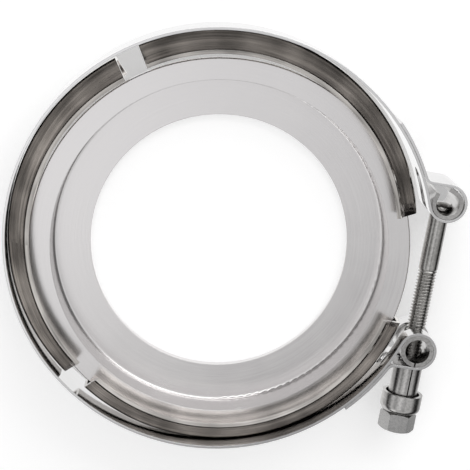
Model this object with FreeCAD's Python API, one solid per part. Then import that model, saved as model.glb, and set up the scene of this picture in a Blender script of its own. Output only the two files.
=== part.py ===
import FreeCAD, Part
import math
import os

# T-bolt V-band clamp, loosened, with one weld flange lying loose in its channel.
# Millimetres and degrees. The clamp lies flat: +Z runs along the ring's axis and the
# origin is on that axis, halfway across the strap, where two clamped flanges would meet.
# The T-bolt is on the +X side. "Upper" is the +Y end of the bolt, where its head is.

Vector = FreeCAD.Vector
UP = Vector(0, 0, 1)

# Strap ring
band_radius = 65.0         # outside of the strap, loosened
band_width = 20.0
strap_sheet = 0.8
head_angle = 9.7           # ray through the centre of the loop that holds the bolt's head
nut_angle = -29.5          # ray through the centre of the loop on the nut's side
tail_sweep = 24.0          # from a loop's ray to the end of its folded-back tail
knee_radius = 2.4          # middle of the sheet, where a tail bends down onto the strap
weld_gap = 0.08            # between the strap and a tail, or a retainer, beside a spot weld
weld_radius = 1.6
weld_places = (0.42, 0.86)  # along a tail, from its knee to its end

# Trunnions, one in each loop
trunnion_radius = 5.05
trunnion_wall = 1.3
trunnion_play = 0.05       # between a trunnion and its loop
trunnion_inset = 0.1       # a trunnion's ends inside the strap's edges
saddle_ease = 0.31         # the saddle's outside is this much smaller than a trunnion
saddle_wall = 1.2
saddle_drop = 0.28         # of the saddle's axis below the loop's, along the bolt
saddle_shoulder = 50.0     # from the middle of the saddle's opening to where its flanks start
saddle_flank = 2.1
saddle_turn = 26.0         # of the opening, from the bolt's axis towards the ring
trunnion_seam = 0.45

# T-bolt and what is on it
bolt_diameter = 6.0
thread_pitch = 1.0
thread_relief = 0.1        # the thread's crests are this much smaller across than the shank
thread_start = 22.9        # from the upper loop's axis
bolt_hole_play = 0.4       # between the bolt and the holes it passes through
slot_play = 0.7            # between the bolt and the long slots in the strap
slot_into_ring = 6.5       # degrees of ring that each long slot runs into
slot_round_loop = 152.0    # degrees of loop that each long slot runs round
head_play = 0.05
head_radius = 4.2          # along Z; across, the head fills the saddle
head_top = 1.2             # of the dome, from the loop's axis along the bolt
head_dome = 1.2
sleeve_play = 0.3          # between the bolt and the sleeve, all round
sleeve_wall = 1.3
sleeve_length = 15.5
sleeve_seam = 0.4
sleeve_seam_turn = -9.0    # from +Z, about the bolt
sleeve_notch = 1.3         # depth of the V where the seam meets the loop
cup_play = 0.75            # between the sleeve and the cup, all round
cup_sheet = 1.05
cup_depth = 6.3
cup_corner = 2.1           # outer corner radius
cup_inner_corner = 0.6
nut_flats = 10.0
nut_height = 5.9
nut_turn_at_rest = 4.0
nut_chamfer = 30.0
nut_bore_play = 0.05
bolt_end_inset = 0.2       # the bolt's end stops this short of the nut's end
washer_play = 0.1          # between the bolt's thread and the cup washer
seat_gap = 0.05            # between faces that bear on each other

# V-retainers, three lengths of channel, each rolled a little tighter than the strap and
# welded where it touches: name, start and end round the ring, weld, how much tighter
retainers = (
    ("upper", 7.2, 111.7, 88.0, 3.2),
    ("left", 118.9, 221.0, 171.0, 2.0),
    ("lower", 228.2, 334.3, 281.0, 3.2),
)
retainer_sheet = 1.25
channel_base = 4.4         # flat width against the strap
channel_slope = 40.0       # of each leg, from the plane of the ring
channel_bend = 1.93        # middle of the sheet
leg_length = 4.0
flare_turn = 32.0          # each lip flares this much further out
flare_radius = 6.6         # middle of the sheet

# Weld flange
flange_inset = 6.5         # of the flange's rim, inside the strap's outside
flange_rim = 2.5
flange_rim_chamfer = 0.6
flange_lip = 4.9           # the flange's rim beyond its hub
hub_wall = 1.7             # at the mouth of the recess
recess_taper = 0.4
recess_corner = 0.8
recess_depth = 10.4
flange_plate = 2.6
bore_radius = 40.1
flange_x = 0.53            # the loose flange lies off the ring's axis, on its plate
flange_y = -3.07

# Sizes that follow
strap_middle = band_radius - strap_sheet / 2
strap_inner = band_radius - strap_sheet
flange_radius = band_radius - flange_inset
hub_radius = flange_radius - flange_lip
recess_radius = hub_radius - hub_wall
recess_floor_radius = recess_radius - recess_taper
loop_middle = trunnion_radius + trunnion_play + strap_sheet / 2
loop_outer = loop_middle + strap_sheet / 2
loop_distance = strap_middle + loop_middle
tail_middle = strap_middle + strap_sheet + weld_gap
trunnion_length = band_width - 2 * trunnion_inset
saddle_radius = trunnion_radius - saddle_ease
bolt_span = head_angle - nut_angle
tail_lean = 90 - bolt_span / 2     # the tails' flats stand square to the bolt
thread_crest = bolt_diameter - thread_relief
sleeve_radius = bolt_diameter / 2 + sleeve_play + sleeve_wall
cup_radius = sleeve_radius + cup_play + cup_sheet
slot_width = bolt_diameter + 2 * slot_play
hole_radius = bolt_diameter / 2 + bolt_hole_play
floor_z = -band_width / 2


def polar(radius, degrees, z=0.0):
    turn = math.radians(degrees)
    return Vector(radius * math.cos(turn), radius * math.sin(turn), z)


head_centre = polar(loop_distance, head_angle)
nut_centre = polar(loop_distance, nut_angle)
bolt_line = (nut_centre - head_centre).normalize()
loop_spacing = (nut_centre - head_centre).Length
saddle_centre = head_centre + bolt_line * saddle_drop
sleeve_start = loop_spacing + loop_outer + seat_gap
cup_floor = sleeve_start + sleeve_length + seat_gap
nut_start = cup_floor + cup_sheet + seat_gap
bolt_length = nut_start + nut_height - bolt_end_inset


def frame(origin, x_axis, y_axis):
    """Placement whose X and Y run along the two given unit vectors."""
    z_axis = x_axis.cross(y_axis)
    columns = (x_axis, y_axis, z_axis, origin)
    matrix = FreeCAD.Matrix(*(value for row in zip(*columns) for value in row), 0, 0, 0, 1)
    return FreeCAD.Placement(matrix)


def on_bolt(shape):
    """Puts a shape modelled up local Z onto the bolt: local X faces up, local Y the ring."""
    shape = shape.copy()
    shape.Placement = frame(head_centre, UP, bolt_line.cross(UP)).multiply(shape.Placement)
    return shape


def follow(section, start, heading, steps):
    """Sweeps a flat section, drawn in (left, up), along straight runs and plain turns.

    A step is ("run", length), ("left", radius, degrees) or ("right", radius, degrees).
    """
    pieces = []
    point, heading = start, heading
    for step in steps:
        left = UP.cross(heading)
        face = section.copy()
        face.Placement = frame(point, left, UP)
        if step[0] == "run":
            pieces.append(face.extrude(heading * step[1]))
            point = point + heading * step[1]
            continue
        side = 1 if step[0] == "left" else -1
        centre = point + left * (side * step[1])
        pieces.append(face.revolve(centre, UP * side, step[2]))
        turn = FreeCAD.Rotation(UP, side * step[2])
        point = centre + turn.multVec(point - centre)
        heading = turn.multVec(heading)
    solid = pieces[0].multiFuse(pieces[1:]) if len(pieces) > 1 else pieces[0]
    return solid.removeSplitter(), point, heading


def rectangle(width, height):
    """A flat section centred on the origin of its own plane."""
    corner = Vector(-width / 2, -height / 2, 0)
    return Part.makePlane(width, height, corner)


def wire_face(edges):
    return Part.Face(Part.Wire(Part.__sortEdges__(edges)))


def polygon_face(points):
    closed = [Vector(*point) for point in points]
    return Part.Face(Part.makePolygon(closed + closed[:1]))


def spun(points):
    """Revolves a closed outline of (radius, height) points about local Z."""
    face = polygon_face([(radius, 0, height) for radius, height in points])
    return face.revolve(Vector(0, 0, 0), UP, 360)


def rod(radius, start, end):
    return Part.makeCylinder(radius, end - start, Vector(0, 0, start))


def tail_steps():
    """From a tail's end to the point where its loop meets the ring.

    In a frame whose X axis is the loop's ray, the tail's flat touches the loop where it
    crosses the bolt, and a knee turns it down onto the ring.
    """
    lean = math.radians(tail_lean)
    across = Vector(math.cos(lean), math.sin(lean), 0)
    along = Vector(-math.sin(lean), math.cos(lean), 0)
    offset = Vector(loop_distance, 0, 0) + across * (loop_middle + knee_radius)
    reach = tail_middle + knee_radius
    half = offset.dot(along)
    flat = -half - math.sqrt(half * half - offset.dot(offset) + reach * reach)
    if flat < 0:
        flat = -half + math.sqrt(half * half - offset.dot(offset) + reach * reach)
    knee = offset + along * flat
    knee_angle = math.degrees(math.atan2(knee.y, knee.x))
    return [
        ("right", tail_middle, tail_sweep - knee_angle),
        ("left", knee_radius, tail_lean - knee_angle),
        ("run", flat),
        ("right", loop_middle, tail_lean + 180),
    ], knee_angle


def long_slot(to_ring):
    """The slot that lets the bolt through one loop, from the ring round to the far side."""
    side, ray = (1, head_angle) if to_ring == "head" else (-1, nut_angle)
    turn_in, turn_round = ("right", "left") if side > 0 else ("left", "right")
    section = rectangle(4 * strap_sheet, slot_width)
    start_angle = ray + side * slot_into_ring
    start = polar(strap_middle, start_angle)
    heading = polar(1, start_angle - side * 90)
    cutter, end, _ = follow(
        section, start, heading,
        [(turn_in, strap_middle, slot_into_ring), (turn_round, loop_middle, slot_round_loop)],
    )
    centre = polar(loop_distance, ray)
    ends = []
    for place, outward in ((start, polar(1, start_angle)), (end, (end - centre).normalize())):
        foot = place - outward * (2 * strap_sheet)
        ends.append(Part.makeCylinder(slot_width / 2, 4 * strap_sheet, foot, outward))
    return cutter.multiFuse(ends)


def strap_band():
    """One strip of sheet: ring, two loops and two tails folded back and spot-welded."""
    steps, knee_angle = tail_steps()
    ring = [("left", strap_middle, 360 - bolt_span)]
    start_angle = head_angle + tail_sweep
    body, _, _ = follow(
        rectangle(strap_sheet, band_width),
        polar(tail_middle, start_angle), polar(1, start_angle - 90),
        steps + ring + steps[::-1],
    )
    tail_slot = rectangle(slot_width, slot_width)
    exit_cut = tail_slot.extrude(Vector(0, 0, 2 * loop_outer))
    exit_cut.translate(Vector(0, 0, loop_spacing + loop_middle / 2))
    body = body.cut(long_slot("head")).cut(long_slot("nut")).cut(on_bolt(exit_cut))
    welds = []
    for ray, side in ((head_angle, 1), (nut_angle, -1)):
        for place in weld_places:
            angle = ray + side * (knee_angle + place * (tail_sweep - knee_angle))
            for z in (-band_width / 4, band_width / 4):
                foot = polar(strap_middle, angle, z)
                depth = strap_sheet + weld_gap
                welds.append(Part.makeCylinder(weld_radius, depth, foot, polar(1, angle)))
    return body.multiFuse(welds)


def channel_outline(side):
    """The middle line of half a channel, then its two faces: points and arcs to one side.

    Drawn in (left, up) with the strap's inner surface at zero and the ring's axis to the
    left. Returns the edges of the half section on the given side of the middle plane.
    """
    depth = weld_gap + retainer_sheet / 2
    bend = 90 - channel_slope
    half = channel_base / 2
    line = [
        ("run", half), ("in", channel_bend, bend),
        ("run", leg_length), ("out", flare_radius, flare_turn),
    ]
    faces = []
    for face in (-retainer_sheet / 2, retainer_sheet / 2):
        point, angle, edges = Vector(depth, 0, 0), 0.0, []
        for step in line:
            turn = math.radians(angle)
            along = Vector(math.sin(turn), math.cos(turn), 0)
            inward = Vector(math.cos(turn), -math.sin(turn), 0)
            start = point + inward * face
            if step[0] == "run":
                point = point + along * step[1]
                edges.append(Part.LineSegment(start, point + inward * face).toShape())
                continue
            sign = 1 if step[0] == "in" else -1
            centre = point + inward * (sign * step[1])
            spots = []
            for share in (0.5, 1.0):
                angle_here = math.radians(angle + sign * step[2] * share)
                normal = Vector(math.cos(angle_here), -math.sin(angle_here), 0)
                spots.append(centre - normal * (sign * step[1]) + normal * face)
                last = centre - normal * (sign * step[1])
            edges.append(Part.Arc(start, spots[0], spots[1]).toShape())
            point, angle = last, angle + sign * step[2]
        faces.append(edges)
    if side < 0:
        faces = [[edge.mirror(Vector(0, 0, 0), Vector(0, 1, 0)) for edge in edges] for edges in faces]
    return faces


def channel_section():
    """A whole channel section: base, two bends, two legs and two flared lips."""
    upper, lower = channel_outline(1), channel_outline(-1)
    edges = [edge for half in (upper, lower) for face in half for edge in face]
    for half in (upper, lower):
        lips = [face[-1].Vertexes for face in half]
        ends = [max(lip, key=lambda vertex: abs(vertex.Point.y)).Point for lip in lips]
        edges.append(Part.LineSegment(*ends).toShape())
    return wire_face(edges)


def v_retainer(start, end, weld, tighter):
    """A length of channel that meets the strap at its weld and leaves it towards its ends."""
    radius = strap_inner - tighter
    centre = polar(tighter, weld)

    def own_angle(angle):
        lean = tighter * math.sin(math.radians(angle - weld)) / radius
        return angle + math.degrees(math.asin(lean))

    first, last = own_angle(start), own_angle(end)
    foot = centre + polar(radius, first)
    return follow(channel_section(), foot, polar(1, first + 90), [("left", radius, last - first)])[0]


def bolt_saddle():
    """Rolled sheet that the bolt's head bears in: a round cup with two flanks, open above."""
    middle = saddle_radius - saddle_wall / 2
    ridge = math.degrees(math.atan2(-bolt_line.y, -bolt_line.x)) + saddle_turn
    first = ridge + saddle_shoulder
    heading = polar(1, first + 90)
    start = saddle_centre + polar(middle, first) - heading * saddle_flank
    body, _, _ = follow(
        rectangle(saddle_wall, trunnion_length), start, heading,
        [("run", saddle_flank), ("left", middle, 360 - 2 * saddle_shoulder), ("run", saddle_flank)],
    )
    return body.cut(on_bolt(rod(hole_radius, 0, 2 * trunnion_radius)))


def nut_trunnion():
    """Rolled tube that the bolt crosses, open along a seam on the nut's side."""
    base = nut_centre - UP * (trunnion_length / 2)
    tube = Part.makeCylinder(trunnion_radius, trunnion_length, base)
    tube = tube.cut(Part.makeCylinder(trunnion_radius - trunnion_wall, trunnion_length, base))
    reach = 2 * trunnion_radius
    bolt_hole = rod(hole_radius, loop_spacing - reach, loop_spacing + reach)
    seam = Part.makeBox(band_width, trunnion_seam, reach)
    seam.translate(Vector(-band_width / 2, -trunnion_seam / 2, loop_spacing))
    return tube.cut(on_bolt(bolt_hole)).cut(on_bolt(seam))


def t_bolt():
    """A domed head that fits the saddle, a plain shank and a length ready for thread."""
    ball = (head_radius ** 2 + head_dome ** 2) / (2 * head_dome)
    head = rod(head_radius, head_top, trunnion_radius)
    head = head.common(Part.makeSphere(ball, Vector(0, 0, head_top + ball)))
    seat_radius = saddle_radius - saddle_wall - head_play
    foot = Vector(-band_width / 2, 0, saddle_drop)
    head = head.common(Part.makeCylinder(seat_radius, band_width, foot, Vector(1, 0, 0)))
    crest = thread_crest / 2
    chamfer = thread_pitch * 0.7
    shank = spun([
        (0, head_top + head_dome), (bolt_diameter / 2, head_top + head_dome),
        (bolt_diameter / 2, thread_start - chamfer / 2), (crest, thread_start),
        (crest, bolt_length - chamfer), (crest - chamfer, bolt_length), (0, bolt_length),
    ])
    return on_bolt(head.fuse(shank).removeSplitter())


def spacer_sleeve():
    """A short rolled sleeve between the loop and the cup washer, with an open seam."""
    end = sleeve_start + sleeve_length
    tube = rod(sleeve_radius, sleeve_start, end).cut(rod(sleeve_radius - sleeve_wall, sleeve_start, end))
    seam = Part.makeBox(2 * sleeve_radius, sleeve_seam, sleeve_length)
    seam.translate(Vector(0, -sleeve_seam / 2, sleeve_start))
    notch = polygon_face([
        (0, -sleeve_notch, sleeve_start), (0, sleeve_notch, sleeve_start),
        (0, 0, sleeve_start + sleeve_notch),
    ]).extrude(Vector(2 * sleeve_radius, 0, 0))
    tube = tube.cut(seam).cut(notch)
    tube.rotate(Vector(0, 0, 0), UP, sleeve_seam_turn)
    return on_bolt(tube)


def round_floor(cylinder, height, radius):
    """Rounds the end of a cylinder at the given height along the bolt."""
    rings = [edge for edge in cylinder.Edges if len(edge.Vertexes) == 1]
    return cylinder.makeFillet(radius, [edge for edge in rings if abs(edge.CenterOfMass.z - height) < 0.01])


def cup_washer():
    """A drawn cup, open towards the sleeve, with a hole for the bolt in its floor."""
    base = cup_floor + cup_sheet
    rim = base - cup_depth
    outer = round_floor(rod(cup_radius, rim, base), base, cup_corner)
    inner = round_floor(rod(cup_radius - cup_sheet, rim, cup_floor), cup_floor, cup_inner_corner)
    hole = rod(thread_crest / 2 + washer_play, cup_floor - cup_sheet, base + cup_sheet)
    return on_bolt(outer.cut(inner).cut(hole))


def hex_nut():
    """A hexagon nut with both ends turned to a cone, on the bolt's threaded end."""
    corner = nut_flats / math.sqrt(3)
    points = [tuple(polar(corner, 30 + 60 * index, nut_start)) for index in range(6)]
    prism = polygon_face(points).extrude(Vector(0, 0, nut_height))
    drop = (corner - nut_flats / 2 * 0.97) * math.tan(math.radians(nut_chamfer))
    end = nut_start + nut_height
    ends = spun([
        (0, nut_start), (nut_flats / 2 * 0.97, nut_start), (corner, nut_start + drop),
        (corner, end - drop), (nut_flats / 2 * 0.97, end), (0, end),
    ])
    bore = thread_crest / 2 + nut_bore_play
    mouth = thread_pitch / 2
    hole = spun([
        (0, nut_start), (bore + mouth, nut_start), (bore, nut_start + mouth),
        (bore, end - mouth), (bore + mouth, end), (0, end),
    ])
    nut = prism.common(ends).cut(hole)
    nut.rotate(Vector(0, 0, 0), UP, nut_turn_at_rest)
    return on_bolt(nut)


def weld_flange():
    """A turned flange: clamped rim, deep recess and a floor bored for the pipe."""
    top = floor_z + flange_plate + recess_depth
    floor = floor_z + flange_plate
    back = (flange_radius - hub_radius) * math.tan(math.radians(channel_slope))
    edge = flange_rim_chamfer
    body = spun([
        (bore_radius, floor_z), (hub_radius - edge, floor_z), (hub_radius, floor_z + edge),
        (hub_radius, top - flange_rim - back), (flange_radius, top - flange_rim),
        (flange_radius, top - edge / 2), (flange_radius - edge / 2, top),
        (recess_radius, top), (recess_floor_radius, floor), (bore_radius, floor),
    ])
    corner = [
        edge for edge in body.Edges
        if abs(edge.BoundBox.ZMax - floor) < 0.001 and edge.BoundBox.XMax > recess_floor_radius - 0.01
        and edge.BoundBox.ZLength < 0.001
    ]
    body = body.makeFillet(recess_corner, corner)
    body.translate(Vector(flange_x, flange_y, 0))
    return body


def build():
    pieces = {"strap_band": strap_band()}
    for name, start, end, weld, tighter in retainers:
        pieces["v_retainer_" + name] = v_retainer(start, end, weld, tighter)
    pieces.update({
        "bolt_saddle": bolt_saddle(),
        "t_bolt": t_bolt(),
        "nut_trunnion": nut_trunnion(),
        "spacer_sleeve": spacer_sleeve(),
        "cup_washer": cup_washer(),
        "hex_nut": hex_nut(),
        "weld_flange": weld_flange(),
    })
    return pieces


os.makedirs("parts", exist_ok=True)
for name, shape in build().items():
    solids = shape.Solids
    shape = solids[0] if len(solids) == 1 else Part.makeCompound(solids)
    print(name, len(solids), shape.isValid(), round(shape.Volume, 2))
    shape.exportStep("parts/" + name + ".step")
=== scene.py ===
# %% [markdown]
# # A loosened V-band clamp with its weld flange
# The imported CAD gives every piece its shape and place. This script gives the pieces their
# steel, cuts a real thread on the bolt, lights them and sets the camera.

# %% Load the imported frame
import math
import bpy
import bmesh
from mathutils import Matrix, Vector


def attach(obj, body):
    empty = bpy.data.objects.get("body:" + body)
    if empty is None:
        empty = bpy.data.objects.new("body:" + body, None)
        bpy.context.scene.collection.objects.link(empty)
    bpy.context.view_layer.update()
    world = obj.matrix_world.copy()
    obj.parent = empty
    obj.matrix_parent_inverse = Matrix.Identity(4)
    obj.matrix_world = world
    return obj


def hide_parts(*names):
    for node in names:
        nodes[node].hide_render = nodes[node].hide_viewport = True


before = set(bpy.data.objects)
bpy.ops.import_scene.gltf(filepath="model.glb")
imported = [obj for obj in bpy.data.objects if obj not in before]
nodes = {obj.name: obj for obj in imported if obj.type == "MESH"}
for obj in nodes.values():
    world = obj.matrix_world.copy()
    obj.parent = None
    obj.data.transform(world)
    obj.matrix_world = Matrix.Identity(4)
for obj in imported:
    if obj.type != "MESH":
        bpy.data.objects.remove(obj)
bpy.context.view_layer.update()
scene = bpy.context.scene
print(sorted(nodes))

# %% [markdown]
# ## The bolt's own frame
# The bolt lies in the ring's plane, from the upper loop to the lower one. Its local Z runs
# down the bolt from the upper loop's axis and its local X faces up.

# %% Bolt frame, from the same sizes as the CAD
MM = 0.001


def polar(radius, degrees):
    turn = math.radians(degrees)
    return Vector((radius * math.cos(turn), radius * math.sin(turn), 0)) * MM


LOOP_DISTANCE = 70.1  # from the ring's axis to each loop's
HEAD_ANGLE = 9.7
NUT_ANGLE = -29.5
head = polar(LOOP_DISTANCE, HEAD_ANGLE)
nut_end = polar(LOOP_DISTANCE, NUT_ANGLE)
bolt_line = (nut_end - head).normalized()
up = Vector((0, 0, 1))
side = bolt_line.cross(up)
bolt_frame = Matrix.Translation(head) @ Matrix((up, side, bolt_line)).transposed().to_4x4()
spacing = (nut_end - head).length / MM
print("loops", round(spacing, 2), "mm apart")

# %% [markdown]
# ## The thread
# The profile goes round the bolt as a helix: crest, flank, root, flank. A grid of rings
# and columns takes its radius from how far each point is along the pitch.

# %% Thread profile
PITCH = 1.0
SHANK = 3.0  # radius
CREST = 2.95
DEPTH = 0.6
RUN_OUT = 1.6
THREAD_START = 22.4
END_CHAMFER = 0.7
LOOP_OUTER = 5.9
SLEEVE = 15.5
CUP_SHEET = 1.05
NUT_HEIGHT = 5.9
SEAT_GAP = 0.05
BOLT_INSET = 0.2
BOLT_END = spacing + LOOP_OUTER + SLEEVE + CUP_SHEET + NUT_HEIGHT + 3 * SEAT_GAP - BOLT_INSET
COLUMNS = 48


def cut_depth(along, turn):
    """How deep the thread is cut at this place: 0 on the crest, 1 at the root."""
    share = (along / PITCH - turn) % 1.0
    across = abs(share - 0.5) * 2
    return min(1.0, max(0.0, (across - 0.18) / 0.6))


def bolt_radius(along, turn):
    """The shank, then the thread as it runs in, then the chamfer on the bolt's end."""
    if along < THREAD_START:
        return SHANK
    run_in = min(1.0, (along - THREAD_START) / RUN_OUT)
    crest = SHANK - (SHANK - CREST) * run_in
    radius = crest - DEPTH * run_in * cut_depth(along, turn)
    return min(radius, CREST - END_CHAMFER + (BOLT_END - along))


print("thread from", THREAD_START, "to", round(BOLT_END, 2), "mm")

# %% Bolt mesh: shank and thread
rings = [2.2, 6.0, 12.0, 18.0, THREAD_START]
step = PITCH / 12
while rings[-1] + step < BOLT_END:
    rings.append(rings[-1] + step)
rings.append(BOLT_END)

mesh = bmesh.new()
grid = []
for along in rings:
    row = []
    for column in range(COLUMNS):
        turn = column / COLUMNS
        radius = bolt_radius(along, turn)
        angle = turn * math.tau
        row.append(mesh.verts.new((radius * math.cos(angle), radius * math.sin(angle), along)))
    grid.append(row)
for lower, upper in zip(grid, grid[1:]):
    for column in range(COLUMNS):
        after = (column + 1) % COLUMNS
        mesh.faces.new((lower[column], lower[after], upper[after], upper[column]))
mesh.faces.new(list(reversed(grid[0])))
mesh.faces.new(grid[-1])
print(len(mesh.faces), "faces on the shank")

# %% [markdown]
# ## The bolt's head
# A shallow dome whose underside follows the saddle: a dome on the bolt's axis, kept inside
# a cylinder that lies across it.

# %% Head profile
SADDLE = 4.74  # outside radius
SADDLE_WALL = 1.2
HEAD_PLAY = 0.05
SEAT = SADDLE - SADDLE_WALL - HEAD_PLAY
DROP = 0.28
HEAD_RADIUS = 4.2
HEAD_ACROSS = 3.4  # the head's half width inside the saddle
HEAD_TOP = 1.2
DOME = 1.2
HEAD_RINGS = 10
HEAD_COLUMNS = 48


def seat_depth(y):
    """Underside of the head: the saddle's inner face."""
    return DROP + math.sqrt(max(0.0, SEAT ** 2 - y ** 2))


def dome_depth(radius):
    """Top of the head: a shallow ball on the bolt's axis."""
    ball = (HEAD_RADIUS ** 2 + DOME ** 2) / (2 * DOME)
    return HEAD_TOP + ball - math.sqrt(ball ** 2 - radius ** 2)


print("head seat radius", SEAT, "mm")

# %% Head mesh
top_rows, under_rows = [], []
for ring in range(HEAD_RINGS + 1):
    share = ring / HEAD_RINGS
    top_row, under_row = [], []
    for column in range(HEAD_COLUMNS):
        angle = column / HEAD_COLUMNS * math.tau
        x = HEAD_RADIUS * share * math.cos(angle)
        y = HEAD_ACROSS * share * math.sin(angle)
        radius = math.hypot(x, y)
        top_row.append(mesh.verts.new((x, y, dome_depth(radius))))
        under_row.append(mesh.verts.new((x, y, max(seat_depth(y), dome_depth(radius) + 0.05))))
    top_rows.append(top_row)
    under_rows.append(under_row)
for rows, flip in ((top_rows, True), (under_rows, False)):
    for inner, outer in zip(rows, rows[1:]):
        for column in range(HEAD_COLUMNS):
            after = (column + 1) % HEAD_COLUMNS
            face = (inner[column], inner[after], outer[after], outer[column])
            mesh.faces.new(face if flip else tuple(reversed(face)))
for column in range(HEAD_COLUMNS):
    after = (column + 1) % HEAD_COLUMNS
    top, under = top_rows[-1], under_rows[-1]
    mesh.faces.new((top[column], top[after], under[after], under[column]))
print(len(mesh.faces), "faces with the head")

# %% Bolt object, riding on the clamp
bmesh.ops.remove_doubles(mesh, verts=mesh.verts, dist=0.0001)
bmesh.ops.recalc_face_normals(mesh, faces=mesh.faces)
for face in mesh.faces:
    face.smooth = True
mesh.transform(bolt_frame @ Matrix.Scale(MM, 4))
bolt_data = bpy.data.meshes.new("t_bolt_threaded")
mesh.to_mesh(bolt_data)
mesh.free()
bolt = bpy.data.objects.new("t_bolt_threaded", bolt_data)
scene.collection.objects.link(bolt)
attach(bolt, "clamp")
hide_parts("t_bolt")
print("bolt:", len(bolt_data.polygons), "faces")

# %% [markdown]
# ## Steel
# All the metal is bright stainless. What differs is how each piece was made, so one
# builder makes the steels and takes the direction of the fine lines: along the ring for
# rolled strip, and round the flange's own centre for turned faces. The last argument says
# how much darker the steel is between its lines. On most pieces that is grain; it is
# strongest on the retainers, where it is painted dark reflection.

# %% Steel builder


def steel(name, color, rough, spread, lines, stretch, strength,
          center=(0.0, 0.0), along=None, grain_and_painted_reflection=0.07):
    """A bright steel with fine lines. Lines run round `center` unless `along` says otherwise."""
    material = bpy.data.materials.new(name)
    material.use_nodes = True
    tree = material.node_tree
    tree.nodes.clear()
    add = tree.nodes.new
    link = tree.links.new
    out = add("ShaderNodeOutputMaterial")
    shader = add("ShaderNodeBsdfPrincipled")
    link(shader.outputs["BSDF"], out.inputs["Surface"])
    shader.inputs["Metallic"].default_value = 1.0
    place = add("ShaderNodeTexCoord")
    if along is None:
        shift = add("ShaderNodeVectorMath")
        shift.operation = "SUBTRACT"
        shift.inputs[1].default_value = (center[0] * MM, center[1] * MM, 0)
        link(place.outputs["Object"], shift.inputs[0])
        split = add("ShaderNodeSeparateXYZ")
        link(shift.outputs[0], split.inputs[0])
        flat = add("ShaderNodeCombineXYZ")
        link(split.outputs["X"], flat.inputs["X"])
        link(split.outputs["Y"], flat.inputs["Y"])
        reach = add("ShaderNodeVectorMath")
        reach.operation = "LENGTH"
        link(flat.outputs[0], reach.inputs[0])
        turn = add("ShaderNodeMath")
        turn.operation = "ARCTAN2"
        link(split.outputs["Y"], turn.inputs[0])
        link(split.outputs["X"], turn.inputs[1])
        # (radius, height, turn as a length), so lines can be stretched along the turn
        round_place = add("ShaderNodeCombineXYZ")
        scale_turn = add("ShaderNodeMath")
        scale_turn.operation = "MULTIPLY"
        scale_turn.inputs[1].default_value = 0.06 * stretch
        link(turn.outputs[0], scale_turn.inputs[0])
        link(reach.outputs["Value"], round_place.inputs["X"])
        link(split.outputs["Z"], round_place.inputs["Y"])
        link(scale_turn.outputs[0], round_place.inputs["Z"])
        lines_at = round_place.outputs[0]
    else:
        mapping = add("ShaderNodeMapping")
        mapping.inputs["Rotation"].default_value = along
        mapping.inputs["Scale"].default_value = (1, 1, stretch)
        link(place.outputs["Object"], mapping.inputs["Vector"])
        lines_at = mapping.outputs[0]
    fine = add("ShaderNodeTexNoise")
    fine.inputs["Scale"].default_value = lines
    fine.inputs["Detail"].default_value = 3
    link(lines_at, fine.inputs["Vector"])
    broad = add("ShaderNodeTexNoise")
    broad.inputs["Scale"].default_value = 70
    broad.inputs["Detail"].default_value = 2
    link(place.outputs["Object"], broad.inputs["Vector"])
    spots = add("ShaderNodeMath")
    spots.operation = "ADD"
    link(fine.outputs["Fac"], spots.inputs[0])
    link(broad.outputs["Fac"], spots.inputs[1])
    polish = add("ShaderNodeMapRange")
    polish.inputs["From Min"].default_value = 0.6
    polish.inputs["From Max"].default_value = 1.4
    polish.inputs["To Min"].default_value = rough - spread
    polish.inputs["To Max"].default_value = rough + spread
    link(spots.outputs[0], polish.inputs["Value"])
    link(polish.outputs["Result"], shader.inputs["Roughness"])
    # Base colour darker between the lines: grain on most steels, painted dark reflection where the amount is
    # large, as on the retainers
    tone = add("ShaderNodeMix")
    tone.data_type = "RGBA"
    tone.inputs["A"].default_value = (*[value * (1 - grain_and_painted_reflection) for value in color], 1)
    tone.inputs["B"].default_value = (*color, 1)
    tone_mix = add("ShaderNodeMapRange")
    tone_mix.inputs["From Min"].default_value = 0.75
    tone_mix.inputs["From Max"].default_value = 1.25
    link(spots.outputs[0], tone_mix.inputs["Value"])
    link(tone_mix.outputs["Result"], tone.inputs["Factor"])
    link(tone.outputs["Result"], shader.inputs["Base Color"])
    bump = add("ShaderNodeBump")
    bump.inputs["Strength"].default_value = strength
    bump.inputs["Distance"].default_value = 0.00002
    link(fine.outputs["Fac"], bump.inputs["Height"])
    # Sheared and machined edges are eased a little, so they catch the light
    eased = add("ShaderNodeBevel")
    eased.samples = 4
    eased.inputs["Radius"].default_value = 0.00018
    link(eased.outputs["Normal"], bump.inputs["Normal"])
    link(bump.outputs["Normal"], shader.inputs["Normal"])
    return material


# %% The steels
PLAIN = (0, 0, 0)  # small pieces take their lines straight from their own place
strap_steel = steel("strap_steel", (0.72, 0.715, 0.715), 0.1, 0.03, 2500, 0.03, 0.35)
# The retainers' strong darkening between their lines (0.6) is painted dark reflection, in streaks
retainer_steel = steel("retainer_steel", (0.76, 0.725, 0.69), 0.12, 0.05, 1100, 0.02, 0.5, grain_and_painted_reflection=0.6)
rolled_steel = steel("rolled_steel", (0.54, 0.53, 0.52), 0.2, 0.05, 1500, 0.1, 0.4, along=PLAIN, grain_and_painted_reflection=0.3)
pressed_steel = steel("pressed_steel", (0.54, 0.53, 0.52), 0.22, 0.05, 1500, 0.1, 0.4, along=PLAIN, grain_and_painted_reflection=0.3)
nut_steel = steel("nut_steel", (0.46, 0.455, 0.45), 0.28, 0.05, 1500, 0.3, 0.4, along=PLAIN, grain_and_painted_reflection=0.2)
bolt_steel = steel("bolt_steel", (0.5, 0.49, 0.475), 0.2, 0.05, 1500, 0.1, 0.4, along=PLAIN, grain_and_painted_reflection=0.3)
FLANGE_CENTER = (0.53, -3.07)
flange_steel = steel(
    "flange_steel", (0.78, 0.762, 0.76), 0.24, 0.04, 3000, 0.01, 0.5,
    center=FLANGE_CENTER, grain_and_painted_reflection=0.05,
)
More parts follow.
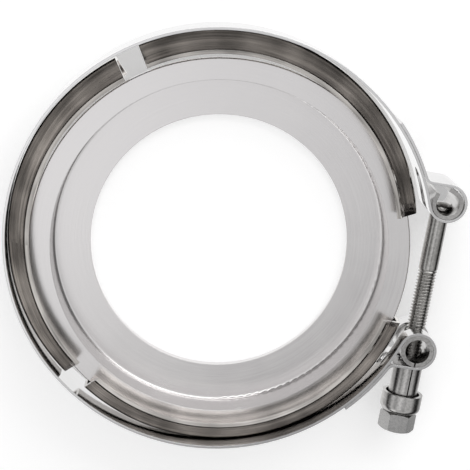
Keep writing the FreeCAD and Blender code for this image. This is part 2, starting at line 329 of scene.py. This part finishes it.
finishes = {
    "strap_band": strap_steel,
    "v_retainer_upper": retainer_steel,
    "v_retainer_left": retainer_steel,
    "v_retainer_lower": retainer_steel,
    "bolt_saddle": rolled_steel,
    "nut_trunnion": rolled_steel,
    "spacer_sleeve": rolled_steel,
    "cup_washer": pressed_steel,
    "hex_nut": nut_steel,
    "weld_flange": flange_steel,
}
for name, material in finishes.items():
    node = nodes[name]
    node.data.materials.clear()
    node.data.materials.append(material)
bolt.data.materials.append(bolt_steel)
print(len(finishes) + 1, "pieces have their steel")

# %% [markdown]
# ## Floor and light
# The clamp lies on a white table. The room is dark near the horizon and pale above, with
# soft patches of light and dark that the polished steel reflects. One lamp gives the
# shadow on the table.

# %% Floor
bpy.ops.mesh.primitive_plane_add(size=6, location=(0, 0, -0.01005))
floor = bpy.context.object
floor.name = "floor"
white = bpy.data.materials.new("floor_white")
white.use_nodes = True
tree = white.node_tree
tree.nodes.clear()
out = tree.nodes.new("ShaderNodeOutputMaterial")
paper = tree.nodes.new("ShaderNodeBsdfDiffuse")
paper.inputs["Color"].default_value = (0.8, 0.8, 0.8, 1)
ray = tree.nodes.new("ShaderNodeLightPath")
lift = tree.nodes.new("ShaderNodeMath")
lift.operation = "MULTIPLY"
lift.inputs[1].default_value = 0.4
tree.links.new(ray.outputs["Is Camera Ray"], lift.inputs[0])
glow = tree.nodes.new("ShaderNodeEmission")
tree.links.new(lift.outputs[0], glow.inputs["Strength"])
seen = tree.nodes.new("ShaderNodeAddShader")
tree.links.new(paper.outputs[0], seen.inputs[0])
tree.links.new(glow.outputs[0], seen.inputs[1])
# The table glows for glossy rays only: an emission, white near the clamp and fading out into the dark of the
# room, is a painted reflection of the lit table in the steel
place = tree.nodes.new("ShaderNodeTexCoord")
reach = tree.nodes.new("ShaderNodeVectorMath")
reach.operation = "LENGTH"
from_spot = tree.nodes.new("ShaderNodeVectorMath")
from_spot.operation = "SUBTRACT"
from_spot.inputs[1].default_value = (-0.045, 0.02, 0)
tree.links.new(place.outputs["Object"], from_spot.inputs[0])
tree.links.new(from_spot.outputs[0], reach.inputs[0])
fade = tree.nodes.new("ShaderNodeMapRange")
fade.interpolation_type = "SMOOTHSTEP"
fade.inputs["From Min"].default_value = 0.11
fade.inputs["From Max"].default_value = 0.2
fade.inputs["To Min"].default_value = 1.05
fade.inputs["To Max"].default_value = 0.03
tree.links.new(reach.outputs["Value"], fade.inputs["Value"])
glossy_glow = tree.nodes.new("ShaderNodeEmission")
tree.links.new(fade.outputs["Result"], glossy_glow.inputs["Strength"])
both = tree.nodes.new("ShaderNodeMixShader")
tree.links.new(ray.outputs["Is Glossy Ray"], both.inputs[0])
tree.links.new(seen.outputs[0], both.inputs[1])
tree.links.new(glossy_glow.outputs[0], both.inputs[2])
tree.links.new(both.outputs[0], out.inputs["Surface"])
floor.data.materials.append(white)

# %% World
world = bpy.data.worlds.new("studio")
scene.world = world
world.use_nodes = True
tree = world.node_tree
tree.nodes.clear()
sky_out = tree.nodes.new("ShaderNodeOutputWorld")
sky = tree.nodes.new("ShaderNodeBackground")
where = tree.nodes.new("ShaderNodeTexCoord")
parts = tree.nodes.new("ShaderNodeSeparateXYZ")
tree.links.new(where.outputs["Generated"], parts.inputs[0])
ramp = tree.nodes.new("ShaderNodeValToRGB")
steps = ramp.color_ramp.elements
steps[0].position = 0.0
steps[0].color = (0.02, 0.018, 0.017, 1)
steps[1].position = 1.0
steps[1].color = (0.82, 0.82, 0.83, 1)
for height, value in ((0.15, 0.015), (0.32, 0.25), (0.5, 0.95), (0.75, 0.68), (0.92, 0.82)):
    stop = steps.new(height)
    stop.color = (value, value, value, 1)
tree.links.new(parts.outputs["Z"], ramp.inputs["Fac"])
tree.links.new(ramp.outputs["Color"], sky.inputs["Color"])
sky.inputs["Strength"].default_value = 1.0


def patch(so_far, azimuth, elevation, near, far, amount):
    """Adds a soft round light, or a dark card if amount is below zero, to the studio."""
    turn, lift = math.radians(azimuth), math.radians(elevation)
    aim = (math.cos(lift) * math.cos(turn), math.cos(lift) * math.sin(turn), math.sin(lift))
    facing = tree.nodes.new("ShaderNodeVectorMath")
    facing.operation = "DOT_PRODUCT"
    facing.inputs[1].default_value = aim
    tree.links.new(where.outputs["Generated"], facing.inputs[0])
    edge = tree.nodes.new("ShaderNodeMapRange")
    edge.interpolation_type = "SMOOTHSTEP"
    edge.inputs["From Min"].default_value = math.cos(math.radians(far))
    edge.inputs["From Max"].default_value = math.cos(math.radians(near))
    edge.inputs["To Max"].default_value = amount
    tree.links.new(facing.outputs["Value"], edge.inputs["Value"])
    total = tree.nodes.new("ShaderNodeMath")
    total.operation = "ADD"
    tree.links.new(so_far, total.inputs[0])
    tree.links.new(edge.outputs["Result"], total.inputs[1])
    return total.outputs[0]


plain = tree.nodes.new("ShaderNodeValue")
plain.outputs[0].default_value = 1.0
level = plain.outputs[0]
for azimuth, elevation, near, far, amount in (
    (228, 6, 10, 26, 5.0),
    (56, 8, 6, 20, 4.0),
    (180, 50, 6, 16, -0.6),
    (280, 67, 5, 16, -0.45),
    (236, 75, 4, 14, 0.35),
    (0, 30, 10, 30, -0.7),
):
    level = patch(level, azimuth, elevation, near, far, amount)
floor_level = tree.nodes.new("ShaderNodeMath")
floor_level.operation = "MAXIMUM"
floor_level.inputs[1].default_value = 0.05
tree.links.new(level, floor_level.inputs[0])
tree.links.new(floor_level.outputs[0], sky.inputs["Strength"])
tree.links.new(sky.outputs[0], sky_out.inputs["Surface"])

# %% Soft box


def soft_box(name, place, size, power, aim=(0, 0, 0)):
    data = bpy.data.lights.new(name, "AREA")
    data.shape = "RECTANGLE"
    data.size, data.size_y = size
    data.energy = power
    lamp = bpy.data.objects.new(name, data)
    lamp.location = place
    lamp.rotation_euler = (Vector(aim) - Vector(place)).to_track_quat("-Z", "Y").to_euler()
    scene.collection.objects.link(lamp)
    return lamp


soft_box("key_above", (0.28, 0.62, 0.4), (0.9, 0.55), 2.4)

# %% [markdown]
# ## Camera
# It looks almost straight down the ring's axis, from a little above the far side and a
# little to the right, so both ends of the loops show.

# %% Camera
tilt, yaw = math.radians(12.33), math.radians(-2.22)
back = Vector((math.sin(yaw) * math.cos(tilt), math.sin(tilt), math.cos(tilt) * math.cos(yaw)))
right = (-back).cross(Vector((0, 1, 0))).normalized()
upward = right.cross(-back)
camera_data = bpy.data.cameras.new("camera")
camera_data.sensor_width = 36
camera_data.lens = 116.94
camera_data.clip_start = 0.01
camera = bpy.data.objects.new("camera", camera_data)
spot = back * 0.4695 + right * 0.00522 + upward * 0.00064
camera.matrix_world = Matrix.Translation(spot) @ Matrix((right, upward, back)).transposed().to_4x4()
scene.collection.objects.link(camera)
scene.camera = camera
scene.view_settings.view_transform = "Standard"
print("camera at", [round(v, 3) for v in spot])
